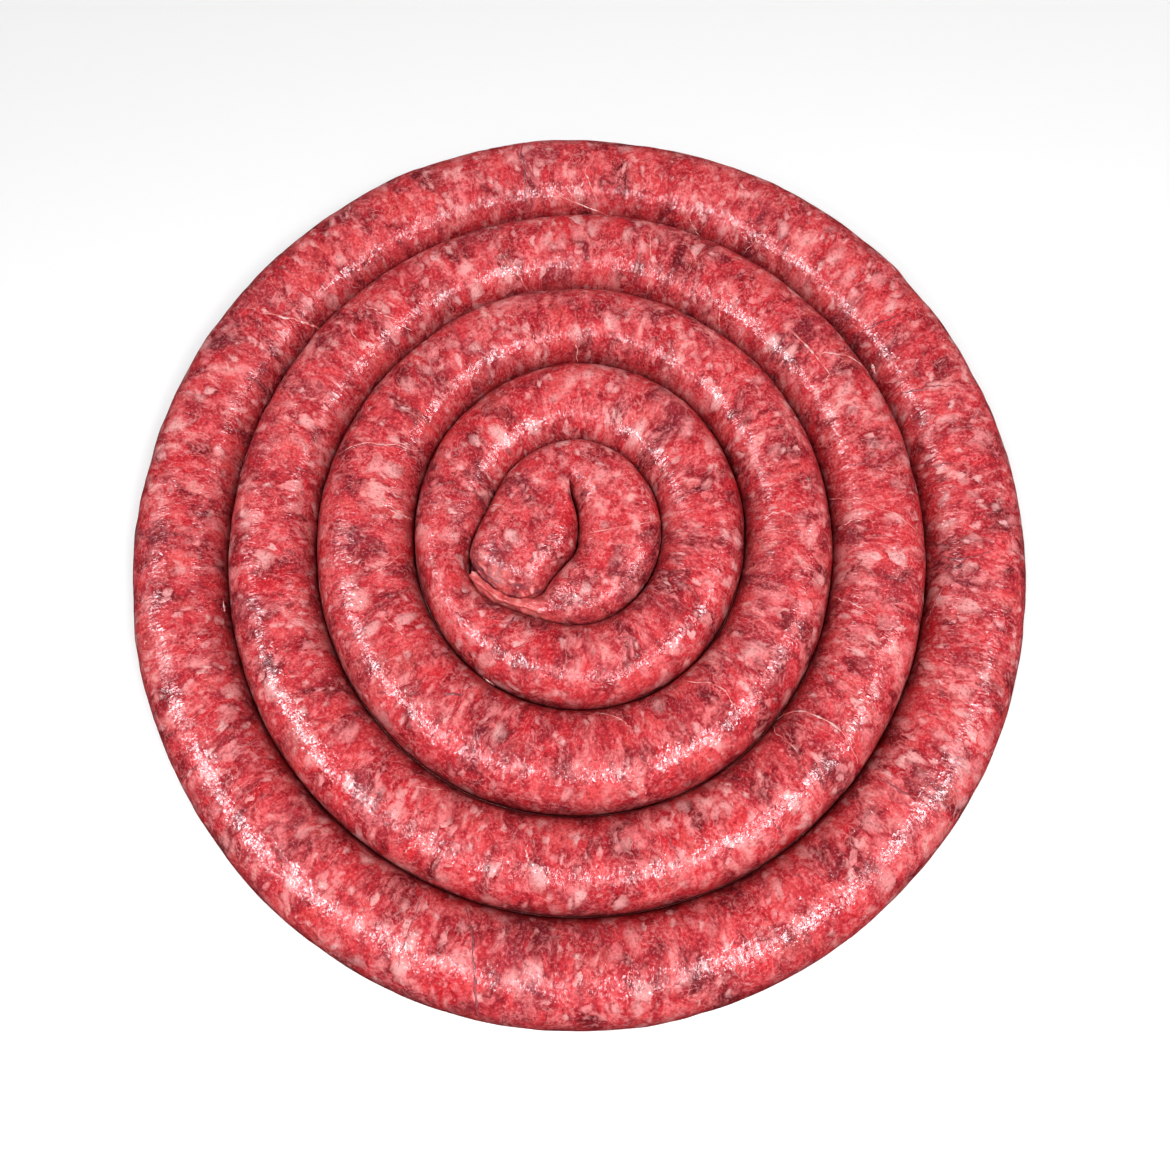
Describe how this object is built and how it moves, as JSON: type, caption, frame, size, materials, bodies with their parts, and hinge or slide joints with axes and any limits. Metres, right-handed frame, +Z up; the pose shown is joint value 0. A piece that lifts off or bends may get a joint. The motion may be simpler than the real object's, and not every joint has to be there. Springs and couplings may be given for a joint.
{
  "type": "coiled raw sausage",
  "caption": "Fresh coarse-ground sausage lying flat as closed rings nested round a short length folded in two.",
  "frame": {"origin": "on the table, under the middle of the coil's box", "axes": "+Z up out of the flat coil, +Y away from the viewer, along the coil's longer way across"},
  "size_m": [0.2884, 0.3016, 0.0288],
  "materials": {
    "ring_meat": "coarse red and pink meat under a wet, clear natural casing",
    "fold_meat": "coarse red and pink meat under a wet, clear natural casing, paler at its flat flap"
  },
  "bodies": {
    "root": {"ring_1": "ring_meat", "ring_2": "ring_meat", "ring_3": "ring_meat", "ring_4": "ring_meat", "folded_centre": "fold_meat"}
  },
  "joints": []
}
